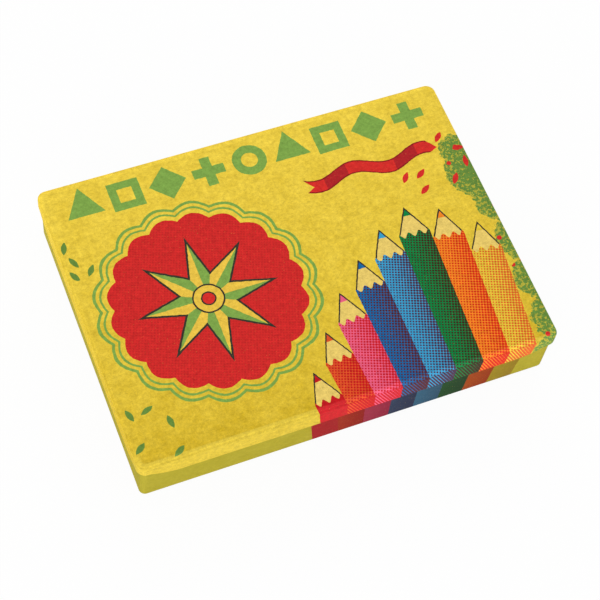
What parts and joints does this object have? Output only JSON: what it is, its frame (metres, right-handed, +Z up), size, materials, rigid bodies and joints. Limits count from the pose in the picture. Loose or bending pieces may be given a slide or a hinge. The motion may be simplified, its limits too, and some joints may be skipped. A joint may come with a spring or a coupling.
{
  "type": "colored pencil tin",
  "caption": "Shallow rectangular tinplate box with a hinged lid whose skirt overlaps the base, two wire-pin hinges at the back, a grooved tray and a layer of hexagonal colored pencils.",
  "frame": {"origin": "centre of the foot ring's plane, which the closed tin stands on", "axes": "+X along the long side, to the right seen from the front; +Y from the front to the hinges; +Z up"},
  "size_m": [0.203, 0.1499, 0.0312],
  "materials": {
    "lid_tinplate": "lithographed tinplate, satin varnish",
    "base_tinplate": "lithographed tinplate, satin varnish",
    "hinge_tinplate": "bare tinplate",
    "hinge_wire": "drawn steel wire",
    "tray_plastic": "vacuum-formed polystyrene",
    "crimson_casing": "lacquered wood",
    "scarlet_casing": "lacquered wood",
    "vermilion_casing": "lacquered wood",
    "orange_casing": "lacquered wood",
    "amber_casing": "lacquered wood",
    "lemon_casing": "lacquered wood",
    "lime_casing": "lacquered wood",
    "leaf_green_casing": "lacquered wood",
    "emerald_casing": "lacquered wood",
    "teal_casing": "lacquered wood",
    "sky_blue_casing": "lacquered wood",
    "cobalt_casing": "lacquered wood",
    "navy_casing": "lacquered wood",
    "violet_casing": "lacquered wood",
    "magenta_casing": "lacquered wood",
    "pink_casing": "lacquered wood",
    "brown_casing": "lacquered wood",
    "black_casing": "lacquered wood",
    "crimson_lead": "wax color core",
    "scarlet_lead": "wax color core",
    "vermilion_lead": "wax color core",
    "orange_lead": "wax color core",
    "amber_lead": "wax color core",
    "lemon_lead": "wax color core",
    "lime_lead": "wax color core",
    "leaf_green_lead": "wax color core",
    "emerald_lead": "wax color core",
    "teal_lead": "wax color core",
    "sky_blue_lead": "wax color core",
    "cobalt_lead": "wax color core",
    "navy_lead": "wax color core",
    "violet_lead": "wax color core",
    "magenta_lead": "wax color core",
    "pink_lead": "wax color core",
    "brown_lead": "wax color core",
    "black_lead": "wax color core"
  },
  "bodies": {
    "base": {"base_shell": "base_tinplate", "pencil_tray": "tray_plastic", "left_hinge_tongue": "hinge_tinplate", "right_hinge_tongue": "hinge_tinplate", "left_hinge_pin": "hinge_wire", "right_hinge_pin": "hinge_wire", "crimson_casing": "crimson_casing", "scarlet_casing": "scarlet_casing", "vermilion_casing": "vermilion_casing", "orange_casing": "orange_casing", "amber_casing": "amber_casing", "lemon_casing": "lemon_casing", "lime_casing": "lime_casing", "leaf_green_casing": "leaf_green_casing", "emerald_casing": "emerald_casing", "teal_casing": "teal_casing", "sky_blue_casing": "sky_blue_casing", "cobalt_casing": "cobalt_casing", "navy_casing": "navy_casing", "violet_casing": "violet_casing", "magenta_casing": "magenta_casing", "pink_casing": "pink_casing", "brown_casing": "brown_casing", "black_casing": "black_casing", "crimson_lead": "crimson_lead", "scarlet_lead": "scarlet_lead", "vermilion_lead": "vermilion_lead", "orange_lead": "orange_lead", "amber_lead": "amber_lead", "lemon_lead": "lemon_lead", "lime_lead": "lime_lead", "leaf_green_lead": "leaf_green_lead", "emerald_lead": "emerald_lead", "teal_lead": "teal_lead", "sky_blue_lead": "sky_blue_lead", "cobalt_lead": "cobalt_lead", "navy_lead": "navy_lead", "violet_lead": "violet_lead", "magenta_lead": "magenta_lead", "pink_lead": "pink_lead", "brown_lead": "brown_lead", "black_lead": "black_lead"},
    "lid": {"lid_shell": "lid_tinplate"}
  },
  "joints": [
    {"name": "lid_hinge", "type": "hinge", "parent": "base", "child": "lid", "pos_m": [0, 0.07425, 0.02065], "axis": [-1, 0, 0], "range_deg": [0, 110]}
  ]
}
